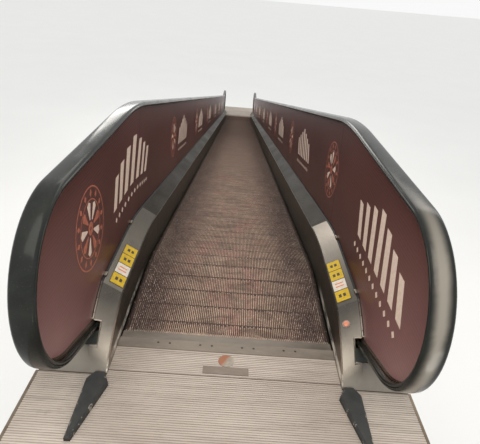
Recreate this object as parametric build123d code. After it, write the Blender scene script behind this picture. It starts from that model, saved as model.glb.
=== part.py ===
from build123d import *

# Inclined moving walkway, from end to end.
# Frame in millimetres: X is to the right and Y runs down the ramp, seen from the upper landing.
# Z is up. The origin is the middle of the flat underside of the upper support flange.

import os
from math import atan2, cos, degrees, hypot, pi, sin, sqrt, tan

os.makedirs("parts", exist_ok=True)

# Driving sizes of the machine
slope = pi / 15
rise = 3200
floor_run = 1200
curve_radius = 1500
curve_start = 760
landing_height = 160

# Clearance where one piece seats beside another, and the sides of small round pieces
seat = 0.3
round_sides = 28

# How far a cutter reaches past what it cuts
cut_margin = 20

# Widths, measured from the middle
belt_half = 494
belt_play = 6
skirt_inner = belt_half + belt_play
skirt_wall = 6
deck_edge = skirt_inner + 90
rail_middle = deck_edge + 15
outer_face = rail_middle + 180
frame_rim = 12

# Heights above the landing level
tread = -6
skirt_top = 190
deck_top = 240
rail_height = 900
track_bed = -62

# Handrail and the newels it runs around
rail_width = 80
rail_depth = 30
rail_corner = 12
rail_cover = 10
rail_wall = 9
rail_play = 0.8
lip_gap = 40
guide_reach = rail_depth + 5
guide_foot_half = lip_gap / 2 - 3.5
newel_foot = 205
newel_radius = (rail_height - newel_foot) / 2
newel_middle = 60
return_slope = pi / 9
return_end = 205

# Glass
glass_thick = 12
glass_inset = 22
glass_foot = 60
first_glass_joint = 1050
glass_panels = 7
joint_gap = 3
clamp_half = rail_middle - deck_edge
clamp_floor = 20
clamp_proud = 8
clamp_depth = 14

# Landing plates and the newel housings beside them
plate_thick = 25
front_plate_end = 146
comb_plate_end = 206
comb_root = 250
comb_tip = 276
nose_start = -25
nose_end = 292
nose_lip = 3
nose_bulge = 30

# Pocket in the housing where the handrail goes in, and its brush plate
pocket_half = 45
pocket_low = -52
pocket_high = 38
pocket_end = return_end + 30
inlet_recess = 5
inlet_thick = 8
inlet_play = 2
slot_lap = 1
glass_turn = pocket_end + 10

# Joints along the decks and the skirts
deck_joints = [1180 + 2300 * index for index in range(7)]
deck_gap = 1.5

# Small pieces on the landing plates
cap_along = 95
cap_radius = 35
cap_thick = 4
data_plate_along = 35
data_plate_size = (200, 42, 1.5)

# Pointed trolley guides: their widest places are measured outwards from the skirt's inner face
wedge_length = 320
wedge_height = 22
wedge_bevel = 7
wedge_play = 1.5
wedge_inner = -22
wedge_outer = 72
wedge_inner_along = 59
wedge_outer_along = 41
wedge_heel = (8, 48)
wedge_tip = (45, 67)

# Stop button and its ring, measured from the middle and from the seam
button_width = skirt_inner + 32
button_along = 200
button_radius = 14
button_height = 6
button_bevel = 2
ring_radius = 18
ring_thick = 2

# Four-field strips on the slanted decks
strip_start = 320
strip_length = 340
strip_width = 74
strip_thick = 1
strip_inset = 1

# Pallets
pallet_pitch = 133.3
pallet_gap = 3.3
pallet_thick = 30
first_pallet = 212
groove_pitch = 9.5
groove_width = 5
groove_deep = 9
tooth_width = 3.6
tooth_play = 2
comb_lift = 0.6
comb_crest = -1
comb_bevel = 12
rail_to = belt_half - 54
rail_from = rail_to - 60

# Truss and its covers
truss_depth = 950
cover_thick = 15
cover_joints = [600 + 1450 * index for index in range(11)]
cover_gap = 6
flange_half = 60
flange_thick = 20
flange_length = 1400

# Places that follow from the driving sizes
upper_end = flange_half
upper_seam = upper_end + floor_run
upper_level = landing_height
lower_level = upper_level - rise
arc_run = curve_radius * sin(slope)
arc_drop = curve_radius * (1 - cos(slope))
incline_run = (rise - 2 * arc_drop) / tan(slope)
upper_arc = upper_seam + curve_start
lower_arc = upper_arc + 2 * arc_run + incline_run
lower_seam = lower_arc + curve_start
lower_end = lower_seam + floor_run
track_length = 2 * curve_start + 2 * curve_radius * slope + incline_run / cos(slope)
ends = ("upper", "lower")


def save(shapes, name):
    """Writes the solids of one node to its own file."""
    solids = []
    for shape in shapes:
        solids.extend(shape.solids())
    export_step(Compound(children=solids), "parts/" + name + ".step")


def both_sides(shapes):
    """The right-hand solids together with their mirror images on the left."""
    return list(shapes) + [mirror(shape, about=Plane.YZ) for shape in shapes]


def place(end, along, height):
    """Side-view point, by its distance down the ramp side from the seam of one landing."""
    if end == "upper":
        return (upper_seam + along, upper_level + height)
    return (lower_seam - along, lower_level + height)


def side_solid(outline, x_from, x_to):
    """Solid between two widths, from a closed outline of edges in side view."""
    face = Plane.YZ.offset(x_from) * make_face(outline)
    return extrude(face, amount=x_to - x_from)


def side_polygon(points, x_from, x_to):
    """Solid between two widths, from corner points in side view."""
    return side_solid([Polyline(*points, close=True)], x_from, x_to)


def box(x_from, x_to, y_from, y_to, z_from, z_to):
    """Plain block between six faces."""
    middle = Pos((x_from + x_to) / 2, (y_from + y_to) / 2, (z_from + z_to) / 2)
    return middle * Box(x_to - x_from, y_to - y_from, z_to - z_from)


def track(offset, start, finish):
    """Edges at one height above the track, from one level landing to the other."""
    over_radius = curve_radius + offset
    under_radius = curve_radius - offset

    def over(angle):
        along = upper_arc + over_radius * sin(angle)
        return (along, upper_level - curve_radius + over_radius * cos(angle))

    def under(angle):
        along = lower_arc - under_radius * sin(angle)
        return (along, lower_level + curve_radius - under_radius * cos(angle))

    return [
        Line((start, upper_level + offset), over(0)),
        ThreePointArc(over(0), over(slope / 2), over(slope)),
        Line(over(slope), under(slope)),
        ThreePointArc(under(slope), under(slope / 2), under(0)),
        Line(under(0), (finish, lower_level + offset)),
    ]


def station(distance):
    """Place and slope on the track at a distance from the upper seam."""
    arc_length = curve_radius * slope
    incline_length = incline_run / cos(slope)
    travelled = distance - curve_start
    if travelled <= 0:
        return upper_seam + distance, upper_level, 0
    if travelled <= arc_length:
        angle = travelled / curve_radius
        drop = curve_radius * (1 - cos(angle))
        return upper_arc + curve_radius * sin(angle), upper_level - drop, angle
    travelled -= arc_length
    if travelled <= incline_length:
        along = upper_arc + arc_run + travelled * cos(slope)
        return along, upper_level - arc_drop - travelled * sin(slope), slope
    travelled -= incline_length
    if travelled <= arc_length:
        angle = slope - travelled / curve_radius
        rest = curve_radius * (1 - cos(angle))
        return lower_arc - curve_radius * sin(angle), lower_level + rest, angle
    return lower_arc + travelled - arc_length, lower_level, 0


def at_station(distance, shape):
    """A shape drawn about the origin, set square to the track at a station."""
    along, height, angle = station(distance)
    return Pos(0, along, height) * Rot(-degrees(angle), 0, 0) * shape


def member(profile, start, finish):
    """Long piece: a cross-section of width and height points carried along the track."""
    path = Plane.YZ * Wire(track(0, start, finish))
    corners = [(-width, height) for width, height in profile]
    base = Plane(origin=(0, start, upper_level), x_dir=(-1, 0, 0), z_dir=(0, 1, 0))
    section = base * make_face(Polyline(*corners, close=True))
    return sweep(section, path=path)


def split_at(solid, distances, gap, x_from, x_to, low, high):
    """Cuts narrow joints square to the track through a long piece of this width and height."""
    reach = cut_margin
    for distance in distances:
        blade = box(x_from - reach, x_to + reach, -gap / 2, gap / 2, low - reach, high + reach)
        solid = solid - at_station(distance, blade)
    return solid


# Newel line: the outside of the handrail, or a line set in from it

def around(end, inset, angle):
    """Point on the newel at an angle from straight up, turning away from the ramp."""
    radius = newel_radius - inset
    height = rail_height - newel_radius + radius * cos(angle)
    return place(end, -newel_middle - radius * sin(angle), height)


def return_point(end, inset, along):
    """Point on the straight return under the newel, at a distance from the seam."""
    lowest = pi - return_slope
    radius = newel_radius - inset
    start_along = -newel_middle - radius * sin(lowest)
    start_height = rail_height - newel_radius + radius * cos(lowest)
    drop = (along - start_along) * tan(return_slope)
    return place(end, along, start_height - drop)


def rail_line(inset, upper_along, lower_along):
    """Edges of the whole handrail loop at an inset, from one return to the other."""
    lowest = pi - return_slope
    middle = lowest / 2
    edges = [
        Line(return_point("upper", inset, upper_along), around("upper", inset, lowest)),
        ThreePointArc(
            around("upper", inset, lowest),
            around("upper", inset, middle),
            around("upper", inset, 0),
        ),
    ]
    edges.extend(track(rail_height - inset, upper_seam - newel_middle, lower_seam + newel_middle))
    edges.append(
        ThreePointArc(
            around("lower", inset, 0),
            around("lower", inset, middle),
            around("lower", inset, lowest),
        )
    )
    edges.append(Line(around("lower", inset, lowest), return_point("lower", inset, lower_along)))
    return edges


def rail_sweep(section):
    """Carries a cross-section, drawn with its depth inwards, along the handrail loop."""
    path = Plane.YZ.offset(rail_middle) * Wire(rail_line(0, return_end, return_end))
    start_y, start_z = return_point("upper", 0, return_end)
    heading = (0, -cos(return_slope), sin(return_slope))
    base = Plane(origin=(rail_middle, start_y, start_z), x_dir=(1, 0, 0), z_dir=heading)
    return sweep(base * section, path=path)


def even_section(half):
    """Closed section about the middle, from the points of its right-hand half."""
    other_half = [(-width, depth) for width, depth in reversed(half)]
    return make_face(Polyline(*half, *other_half, close=True))


def handrail():
    """Rubber handrail, bevelled outside, whose slot narrows between two lips."""
    half = rail_width / 2
    section = even_section([
        (half - rail_corner, 0),
        (half, rail_corner),
        (half, rail_depth),
        (lip_gap / 2, rail_depth),
        (half - rail_wall, rail_cover),
    ])
    return rail_sweep(section)


def handrail_guide():
    """Metal guide: a tapering head in the handrail's slot, grooved for the glass."""
    glass_half = glass_thick / 2 + seat
    section = even_section([
        (rail_width / 2 - rail_wall - rail_play, rail_cover + rail_play),
        (guide_foot_half, guide_reach),
        (glass_half, guide_reach),
        (glass_half, glass_inset - seat),
    ])
    return rail_sweep(section)


def glass_panels_right():
    """Glass from newel to newel, parted by narrow joints."""
    edges = rail_line(glass_inset, glass_turn, glass_turn)
    upper_foot = place("upper", glass_turn, glass_foot)
    lower_foot = place("lower", glass_turn, glass_foot)
    edges.append(Line(upper_foot, return_point("upper", glass_inset, glass_turn)))
    edges.append(Line(lower_foot, return_point("lower", glass_inset, glass_turn)))
    edges.extend(track(glass_foot, upper_foot[0], lower_foot[0]))
    x_from = rail_middle - glass_thick / 2
    x_to = rail_middle + glass_thick / 2
    sheet = side_solid(edges, x_from, x_to)
    last_joint = track_length - first_glass_joint
    step = (last_joint - first_glass_joint) / glass_panels
    joints = [first_glass_joint + step * index for index in range(glass_panels + 1)]
    return split_at(sheet, joints, joint_gap, x_from, x_to, 0, rail_height)


# Newel housing: the arched nose that takes the handrail back in

def nose_circle():
    """Centre and radius of the arc that the nose's top follows beside the glass."""
    run = nose_end - nose_start
    chord = hypot(run, deck_top)
    radius = (chord ** 2 / 4 + nose_bulge ** 2) / (2 * nose_bulge)
    back = (radius - nose_bulge) / chord
    centre_along = (nose_start + nose_end) / 2 + back * deck_top
    return centre_along, deck_top / 2 - back * run, radius


def nose_surface(along, width):
    """Height of the nose's top, which arches from the floor up to the decks."""
    centre_along, centre_height, radius = nose_circle()
    crest = centre_height + sqrt(radius ** 2 - (along - centre_along) ** 2)
    return crest * deck_height(width) / deck_top


def deck_height(width):
    """Height of the deck covers at a distance from the middle: slanted inside, level outside."""
    if width >= deck_edge:
        return deck_top
    part = (width - skirt_inner - skirt_wall) / (deck_edge - skirt_inner - skirt_wall)
    return skirt_top + part * (deck_top - skirt_top)


def nose_arch(end, width, finish):
    """Arc of the nose's top at a width, from its lip at the floor up to the fold."""
    middle = (nose_start + nose_end) / 2
    return ThreePointArc(
        place(end, nose_start, nose_lip),
        place(end, middle, nose_surface(middle, width)),
        place(end, finish, deck_height(width)),
    )


def nose_side(end, width):
    """Closed side view of the nose at a width."""
    finish = nose_end - seat
    rest = Polyline(
        place(end, finish, deck_height(width)),
        place(end, finish, track_bed + seat),
        place(end, nose_start, track_bed + seat),
        place(end, nose_start, nose_lip),
    )
    return [nose_arch(end, width, finish), rest]


def nose_block(end):
    """Nose without its openings: slanted across beside the skirt, level beyond the glass."""
    inner = skirt_inner + skirt_wall + seat
    sides = [Plane.YZ.offset(width) * make_face(nose_side(end, width)) for width in (inner, deck_edge)]
    return loft(sides, ruled=True) + side_solid(nose_side(end, deck_edge), deck_edge, outer_face)


def between_insets(end, low, high, start, finish, x_from, x_to):
    """Block that follows the straight return between two insets."""
    points = [
        return_point(end, low, start),
        return_point(end, high, start),
        return_point(end, high, finish),
        return_point(end, low, finish),
    ]
    return side_polygon(points, x_from, x_to)


def nose_housing(end):
    """Newel housing with the handrail pocket and the slot for the glass clamp."""
    block = nose_block(end)
    half = pocket_half + seat
    pocket = between_insets(
        end, pocket_low, pocket_high, nose_start - cut_margin, pocket_end,
        rail_middle - half, rail_middle + half,
    )
    slot_from = rail_middle - clamp_half - seat
    slot_to = rail_middle + clamp_half + seat
    slot = clamp_space(end, pocket_end - slot_lap, glass_foot - clamp_floor, slot_from, slot_to)
    glass_way = between_insets(
        end, glass_inset, newel_radius, nose_start, pocket_end, slot_from, slot_to
    )
    return block - pocket - slot - glass_way


def clamp_space(end, start, floor, x_from, x_to):
    """Cutter for a slot that is open at its top and at the fold."""
    finish = nose_end + cut_margin
    top = deck_top + cut_margin
    points = [
        place(end, start, floor),
        place(end, finish, floor),
        place(end, finish, top),
        place(end, start, top),
    ]
    return side_polygon(points, x_from, x_to)


def nose_line(end, below, along):
    """Point at a depth below the nose's crest line."""
    return place(end, along, nose_surface(along, rail_middle) - below)


def nose_crossing(inset):
    """Distance from the seam at which a line along the return comes out of the nose's crest."""
    centre_along, centre_height, radius = nose_circle()
    fall = tan(return_slope)
    drop = return_point("upper", inset, 0)[1] - upper_level - centre_height
    square = 1 + fall ** 2
    half = centre_along + fall * drop
    rest = centre_along ** 2 + drop ** 2 - radius ** 2
    return (half - sqrt(half ** 2 - square * rest)) / square


def handrail_inlet(end):
    """Brush plate in the mouth of the pocket, open where the handrail goes in."""
    top = inlet_recess
    low = inlet_recess + inlet_thick / cos(return_slope)
    start = nose_crossing(pocket_low)
    finish = nose_crossing(pocket_high) + cut_margin
    points = [
        nose_line(end, top, start),
        nose_line(end, top, finish),
        nose_line(end, low, finish),
        nose_line(end, low, start),
    ]
    x_from = rail_middle - pocket_half
    x_to = rail_middle + pocket_half
    plate = side_polygon(points, x_from, x_to)
    mouth = between_insets(
        end, pocket_low + seat, pocket_high - seat, nose_start, pocket_end - slot_lap, x_from, x_to
    )
    half = rail_width / 2 + inlet_play
    passage = between_insets(
        end, -inlet_play, pocket_high, nose_start, pocket_end,
        rail_middle - half, rail_middle + half,
    )
    return (plate & mouth) - passage


def nose_clamp(end):
    """Clamp on both faces of the glass, over the pocket and on to the fold."""
    ceiling = pocket_high + seat
    start = nose_crossing(ceiling)
    finish = nose_end - seat
    middle = (start + finish) / 2
    floor = glass_foot - clamp_floor + seat
    foot = return_point(end, ceiling, start)
    head = nose_line(end, -clamp_proud, start)
    crest_end = place(end, finish, deck_top + clamp_proud)
    outline = [
        ThreePointArc(head, nose_line(end, -clamp_proud, middle), crest_end),
        Polyline(
            crest_end,
            place(end, finish, floor),
            place(end, pocket_end, floor),
            return_point(end, ceiling, pocket_end),
            foot,
            head,
        ),
    ]
    block = side_solid(outline, rail_middle - clamp_half, rail_middle + clamp_half)
    half = glass_thick / 2 + seat
    slot = clamp_space(
        end, start - cut_margin, glass_foot - seat, rail_middle - half, rail_middle + half
    )
    return block - slot


# Skirts, decks and the long glass clamps

def skirt():
    """Upright skirt panels, cut to the arch of the noses at both ends."""
    foot = track_bed + seat
    upper_foot = place("upper", comb_plate_end, foot)
    lower_foot = place("lower", comb_plate_end, foot)
    crest = track(skirt_top, place("upper", nose_end, 0)[0], place("lower", nose_end, 0)[0])
    base = track(foot, upper_foot[0], lower_foot[0])
    edges = crest + base
    for end, low_point in (("upper", upper_foot), ("lower", lower_foot)):
        front_low = place(end, nose_start, foot)
        edges.append(nose_arch(end, skirt_inner + skirt_wall, nose_end))
        edges.append(Polyline(place(end, nose_start, nose_lip), front_low, low_point))
    panel = side_solid(edges, skirt_inner, skirt_inner + skirt_wall)
    x_to = skirt_inner + skirt_wall
    return split_at(panel, deck_joints, deck_gap, skirt_inner, x_to, track_bed, skirt_top)


def inner_deck():
    """Inner deck covers, which slant down towards the skirt."""
    foot = track_bed + seat
    inner = skirt_inner + skirt_wall + seat
    profile = [
        (inner, foot),
        (inner, skirt_top),
        (deck_edge, deck_top),
        (deck_edge, foot),
    ]
    cover = member(profile, place("upper", nose_end, 0)[0], place("lower", nose_end, 0)[0])
    return split_at(cover, deck_joints, deck_gap, inner, deck_edge, track_bed, deck_top)


def outer_deck():
    """Outer deck covers, level from the glass to the outer face."""
    foot = track_bed + seat
    edge = 2 * rail_middle - deck_edge
    profile = [
        (edge, foot),
        (edge, deck_top),
        (outer_face, deck_top),
        (outer_face, foot),
    ]
    cover = member(profile, place("upper", nose_end, 0)[0], place("lower", nose_end, 0)[0])
    return split_at(cover, deck_joints, deck_gap, edge, outer_face, track_bed, deck_top)


def glass_clamp():
    """Long channel between the decks that grips the foot of the glass."""
    foot = track_bed + seat
    top = deck_top - clamp_depth
    near = rail_middle - clamp_half + seat
    far = rail_middle + clamp_half - seat
    gap = glass_thick / 2 + seat
    profile = [
        (near, foot),
        (near, top),
        (rail_middle - gap, top),
        (rail_middle - gap, glass_foot - seat),
        (rail_middle + gap, glass_foot - seat),
        (rail_middle + gap, top),
        (far, top),
        (far, foot),
    ]
    return member(profile, place("upper", nose_end, 0)[0], place("lower", nose_end, 0)[0])


# Pallets and combs

def pallet_count():
    """Whole pallets between the two combs."""
    return int((track_length - 2 * first_pallet) / pallet_pitch)


def groove_places():
    """Middle of each groove across the pallets."""
    count = int((2 * belt_half - groove_pitch) / groove_pitch)
    first = -(count - 1) * groove_pitch / 2
    return [first + index * groove_pitch for index in range(count)]


def plain_pallet():
    """One pallet away from the combs."""
    half = (pallet_pitch - pallet_gap) / 2
    return box(-belt_half, belt_half, -half, half, tread - pallet_thick, tread)


def grooved_pallet():
    """The pallet under a comb, with the grooves that its teeth stand in."""
    half = (pallet_pitch - pallet_gap) / 2
    points = [(-belt_half, tread - pallet_thick), (-belt_half, tread)]
    for middle in groove_places():
        points.append((middle - groove_width / 2, tread))
        points.append((middle - groove_width / 2, tread - groove_deep))
        points.append((middle + groove_width / 2, tread - groove_deep))
        points.append((middle + groove_width / 2, tread))
    points.append((belt_half, tread))
    points.append((belt_half, tread - pallet_thick))
    face = Plane.XZ.offset(-half) * make_face(Polyline(*points, close=True))
    return extrude(face, amount=2 * half)


def pallet_band():
    """The run of pallets that shows, from under one comb to under the other."""
    count = pallet_count()
    pitch = (track_length - 2 * first_pallet) / count
    length = pallet_pitch - pallet_gap
    hollow_radius = curve_radius - tread + pallet_thick
    hollow_lift = length ** 2 / (8 * hollow_radius)
    hollow_start = track_length - curve_start - curve_radius * slope
    pallets = []
    for index in range(count):
        middle = first_pallet + pitch * (index + 0.5)
        at_comb = index in (0, count - 1)
        shape = grooved_pallet() if at_comb else plain_pallet()
        in_hollow = hollow_start - length / 2 < middle < track_length - curve_start + length / 2
        lift = hollow_lift if in_hollow else 0
        pallets.append(at_station(middle, Pos(0, 0, lift) * shape))
    return pallets


def pallet_rail():
    """Rail on the truss that carries the pallets."""
    foot = track_bed + seat
    top = tread - pallet_thick - seat
    profile = [(rail_from, foot), (rail_from, top), (rail_to, top), (rail_to, foot)]
    start = place("upper", first_pallet, 0)[0]
    finish = place("lower", first_pallet, 0)[0]
    return member(profile, start, finish)


def comb(end):
    """Comb segments: a thin plate whose pointed teeth stand in the pallet grooves."""
    plate_bottom = tread + comb_lift
    tooth_bottom = tread - groove_deep + tooth_play
    plate_points = [
        place(end, comb_plate_end, plate_bottom),
        place(end, comb_root, plate_bottom),
        place(end, comb_root, comb_crest),
        place(end, comb_plate_end + comb_bevel, 0),
        place(end, comb_plate_end, 0),
    ]
    plate = side_polygon(plate_points, -belt_half, belt_half)
    tooth_points = [
        place(end, comb_root, comb_crest),
        place(end, comb_tip, tooth_bottom),
        place(end, comb_root, tooth_bottom),
    ]
    teeth = []
    for middle in groove_places():
        teeth.append(side_polygon(tooth_points, middle - tooth_width / 2, middle + tooth_width / 2))
    return plate + teeth


# Landing plates

def seam_box(end, x_half, start, finish, low, high):
    """Block across the walkway between two distances from a seam."""
    near = place(end, start, low)
    far = place(end, finish, high)
    return box(-x_half, x_half, min(near[0], far[0]), max(near[0], far[0]), near[1], far[1])


def floor_plate(end):
    """The large landing plates, in two leaves, let into the floor frame."""
    leaf = floor_run / 2
    back_start = -floor_run + frame_rim + seat
    front_end = nose_start - seat
    back = seam_box(end, outer_face, back_start, -leaf - seat, -plate_thick, 0)
    front = seam_box(end, outer_face, -leaf + seat, front_end, -plate_thick, 0)
    tongue = seam_box(end, skirt_inner - seat, front_end - cut_margin, -seat, -plate_thick, 0)
    return [back, front + tongue]


def front_plate(end):
    """Ribbed plate between the skirts, with the recess for the round cap."""
    plate = seam_box(end, skirt_inner - seat, seat, front_plate_end - seat, -plate_thick, 0)
    return plate - cap_disc(end, cap_radius + seat, cap_thick + seat)


def cap_disc(end, radius, thick):
    """Round disc with its top level with the landing."""
    y, z = place(end, cap_along, -thick)
    return Pos(0, y, z) * extrude(RegularPolygon(radius, round_sides), amount=thick)


def access_cap(end):
    """Round cap flush in the front plate."""
    return cap_disc(end, cap_radius, cap_thick)


def bare_plate(end):
    """Thin rectangular plate fixed on the front plate, left bare."""
    length, depth, thick = data_plate_size
    y, z = place(end, data_plate_along, seat + thick / 2)
    return Pos(0, y, z) * Box(length, depth, thick)


def comb_plate(end):
    """Smooth plate that carries the comb segments."""
    return seam_box(end, skirt_inner - seat, front_plate_end, comb_plate_end, -plate_thick, 0)


def floor_frame(end):
    """Frame under the landing plates, with a rim that shows around them."""
    bottom = track_bed + seat
    top = -plate_thick - seat
    half = outer_face + frame_rim + seat
    finish = nose_start - seat
    wide = seam_box(end, half, -floor_run, finish, bottom, 0)
    tray = seam_box(
        end, outer_face + seat, -floor_run + frame_rim, finish + cut_margin, top, cut_margin
    )
    narrow = seam_box(end, skirt_inner - seat, finish - cut_margin, comb_plate_end, bottom, top)
    return (wide - tray) + narrow


def trolley_guide(end):
    """Pointed dark wedge on the floor in front of a skirt end."""
    heel_inner, heel_outer = wedge_heel
    tip_inner, tip_outer = wedge_tip
    outline = [
        (heel_inner, wedge_play),
        (wedge_inner, wedge_inner_along),
        (tip_inner, wedge_length),
        (tip_outer, wedge_length),
        (wedge_outer, wedge_outer_along),
        (heel_outer, wedge_play),
    ]
    points = [(skirt_inner + across, place(end, nose_start - along, 0)[0]) for across, along in outline]
    floor = place(end, 0, seat)[1]
    base = Pos(0, 0, floor) * make_face(Polyline(*points, close=True))
    wedge = extrude(base, amount=wedge_height)
    return chamfer(wedge.faces().sort_by(Axis.Z)[-1].edges(), wedge_bevel)


# Truss, its covers and its supports

def bottom_line(offset):
    """Corner points of the straight-sided underside at an offset from the track."""
    turn = curve_radius * tan(slope / 2) + offset * tan(slope / 2)
    lower_turn = curve_radius * tan(slope / 2) - offset * tan(slope / 2)
    return [
        (upper_arc + turn, upper_level + offset),
        (lower_arc - lower_turn, lower_level + offset),
    ]


def truss_outline(low, high, start, finish):
    """Side view of the truss: curved with the track on top, straight-sided below."""
    edges = track(high, start, finish)
    upper_turn, lower_turn = bottom_line(low)
    corners = [
        (start, upper_level + high),
        (start, upper_level + low),
        upper_turn,
        lower_turn,
        (finish, lower_level + low),
        (finish, lower_level + high),
    ]
    edges.append(Polyline(*corners))
    return edges


def truss():
    """Closed machine housing that carries everything else."""
    outline = truss_outline(-truss_depth, track_bed, upper_end + cover_thick, lower_end - cover_thick)
    half = outer_face - cover_thick
    return side_solid(outline, -half, half)


def side_covers():
    """Cover panels on one side of the truss, parted by narrow joints."""
    outline = truss_outline(-truss_depth, track_bed, upper_end + cover_thick, lower_end - cover_thick)
    x_from = outer_face - cover_thick + seat
    sheet = side_solid(outline, x_from, outer_face)
    return split_at(
        sheet, cover_joints, cover_gap, x_from, outer_face, -truss_depth - flange_half, track_bed
    )


def soffit():
    """Panels under the truss, parted by narrow joints."""
    high = bottom_line(-truss_depth - seat)
    low = bottom_line(-truss_depth - cover_thick)
    start = upper_end
    finish = lower_end
    points = [(start, high[0][1])] + high + [(finish, high[1][1]), (finish, low[1][1])]
    points += [low[1], low[0], (start, low[0][1])]
    sheet = side_polygon(points, -outer_face, outer_face)
    low_cut = -truss_depth - landing_height
    high_cut = -truss_depth + landing_height
    return split_at(sheet, cover_joints, cover_gap, -outer_face, outer_face, low_cut, high_cut)


def end_plate(end):
    """Plate that closes one end of the truss."""
    low = -truss_depth
    return seam_box(end, outer_face, -floor_run, -floor_run + cover_thick - seat, low, track_bed)


def support_flange(end):
    """Angle on the end of the truss whose flat underside rests on the building."""
    start = -floor_run - 2 * flange_half
    leg = seam_box(
        end, flange_length / 2, start, -floor_run, -landing_height, -landing_height + flange_thick
    )
    upright = seam_box(
        end, flange_length / 2, -floor_run - flange_thick, -floor_run,
        -landing_height, track_bed,
    )
    return leg + upright


# Small things on the decks and housings

def marker_strip():
    """Four-field strip on the slanted inner deck beyond the upper fold."""
    edge = skirt_inner + skirt_wall + seat
    lean = degrees(atan2(deck_top - skirt_top, deck_edge - edge))
    y, z = place("upper", strip_start + strip_length / 2, skirt_top)
    seated = Pos(strip_inset + strip_width / 2, 0, seat + strip_thick / 2)
    flat = seated * Box(strip_width, strip_length, strip_thick)
    return Pos(edge, y, z) * Rot(0, -lean, 0) * flat


def button_plane(end):
    """Plane on the nose's surface under the stop button, from its rise over one millimetre."""
    here = nose_surface(button_along, button_width)
    rise_along = nose_surface(button_along + 1, button_width) - here
    rise_across = nose_surface(button_along, button_width + 1) - here
    y, z = place(end, button_along, here)
    direction = 1 if end == "upper" else -1
    normal = (-rise_across, -rise_along * direction, 1)
    return Plane(origin=(button_width, y, z), z_dir=normal)


def stop_button(end):
    """Round stop button in the right-hand nose."""
    knob = extrude(RegularPolygon(button_radius, round_sides), amount=button_height)
    knob = chamfer(knob.faces().sort_by(Axis.Z)[-1].edges(), button_bevel)
    return button_plane(end) * (Pos(0, 0, 2 * seat) * knob)


def button_ring(end):
    """Flat metal ring around the stop button."""
    hole = RegularPolygon(button_radius + seat, round_sides)
    ring = extrude(RegularPolygon(ring_radius, round_sides) - hole, amount=ring_thick)
    return button_plane(end) * (Pos(0, 0, 2 * seat) * ring)


# Build and save every node

save([truss()], "truss_housing")
save(both_sides([side_covers()]), "side_covers")
save([soffit()], "soffit_panels")
save([end_plate("upper")], "end_plate_upper")
save([end_plate("lower")], "end_plate_lower")
save([support_flange("upper")], "support_flange_upper")
save([support_flange("lower")], "support_flange_lower")

for end in ends:
    save([floor_frame(end)], "floor_frame_" + end)
    save(floor_plate(end), "floor_plates_" + end)
    save([front_plate(end)], "front_plate_" + end)
    save([access_cap(end)], "access_cap_" + end)
    save([comb_plate(end)], "comb_plate_" + end)
    save([comb(end)], "comb_" + end)
    save(both_sides([nose_housing(end)]), "newel_housings_" + end)
    save(both_sides([handrail_inlet(end)]), "handrail_inlets_" + end)
    save(both_sides([nose_clamp(end)]), "newel_clamps_" + end)
    save(both_sides([trolley_guide(end)]), "trolley_guides_" + end)
    save([stop_button(end)], "stop_button_" + end)
    save([button_ring(end)], "stop_ring_" + end)

save(pallet_band(), "pallet_band")
save(both_sides([pallet_rail()]), "pallet_rails")
save(both_sides([skirt()]), "skirt_panels")
save(both_sides([inner_deck()]), "inner_decks")
save(both_sides([outer_deck()]), "outer_decks")
save(both_sides([glass_clamp()]), "glass_clamps")
save(both_sides([glass_panels_right()]), "glass_panels")
save([handrail()], "handrail_right")
save([mirror(handrail(), about=Plane.YZ)], "handrail_left")
save(both_sides([handrail_guide()]), "handrail_guides")
save([bare_plate("upper")], "bare_plate_upper")
save(both_sides([marker_strip()]), "marker_strips")
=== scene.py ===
# Inclined moving walkway: finish of every surface and the small pieces that the solids leave out.
# Metres, in the frame of the model: X to the right, Y down the ramp, Z up.

import random
from math import atan2, cos, hypot, pi, radians, sin, sqrt, tan

import bmesh
import bpy
from mathutils import Matrix, Vector
from mathutils.geometry import tessellate_polygon


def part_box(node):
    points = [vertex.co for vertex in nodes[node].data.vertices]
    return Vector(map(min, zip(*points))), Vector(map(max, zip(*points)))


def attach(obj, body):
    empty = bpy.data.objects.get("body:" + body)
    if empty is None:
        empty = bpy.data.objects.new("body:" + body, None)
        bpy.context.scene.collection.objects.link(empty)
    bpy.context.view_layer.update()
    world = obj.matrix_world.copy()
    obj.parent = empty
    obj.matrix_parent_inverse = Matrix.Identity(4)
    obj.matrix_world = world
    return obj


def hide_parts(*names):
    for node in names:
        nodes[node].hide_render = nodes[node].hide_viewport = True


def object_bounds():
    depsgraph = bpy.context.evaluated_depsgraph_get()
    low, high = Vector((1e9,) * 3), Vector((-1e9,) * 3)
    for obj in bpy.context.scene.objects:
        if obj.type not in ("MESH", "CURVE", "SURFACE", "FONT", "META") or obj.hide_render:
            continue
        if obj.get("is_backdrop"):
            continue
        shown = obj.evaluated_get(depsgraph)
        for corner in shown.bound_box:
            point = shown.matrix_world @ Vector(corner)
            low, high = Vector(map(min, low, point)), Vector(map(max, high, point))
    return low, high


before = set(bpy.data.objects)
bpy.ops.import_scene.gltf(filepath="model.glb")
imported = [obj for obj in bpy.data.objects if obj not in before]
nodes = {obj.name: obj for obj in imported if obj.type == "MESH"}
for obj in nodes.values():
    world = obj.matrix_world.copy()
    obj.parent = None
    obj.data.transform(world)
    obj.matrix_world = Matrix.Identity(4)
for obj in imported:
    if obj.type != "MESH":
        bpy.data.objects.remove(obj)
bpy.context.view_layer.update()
random.seed(7)

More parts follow.
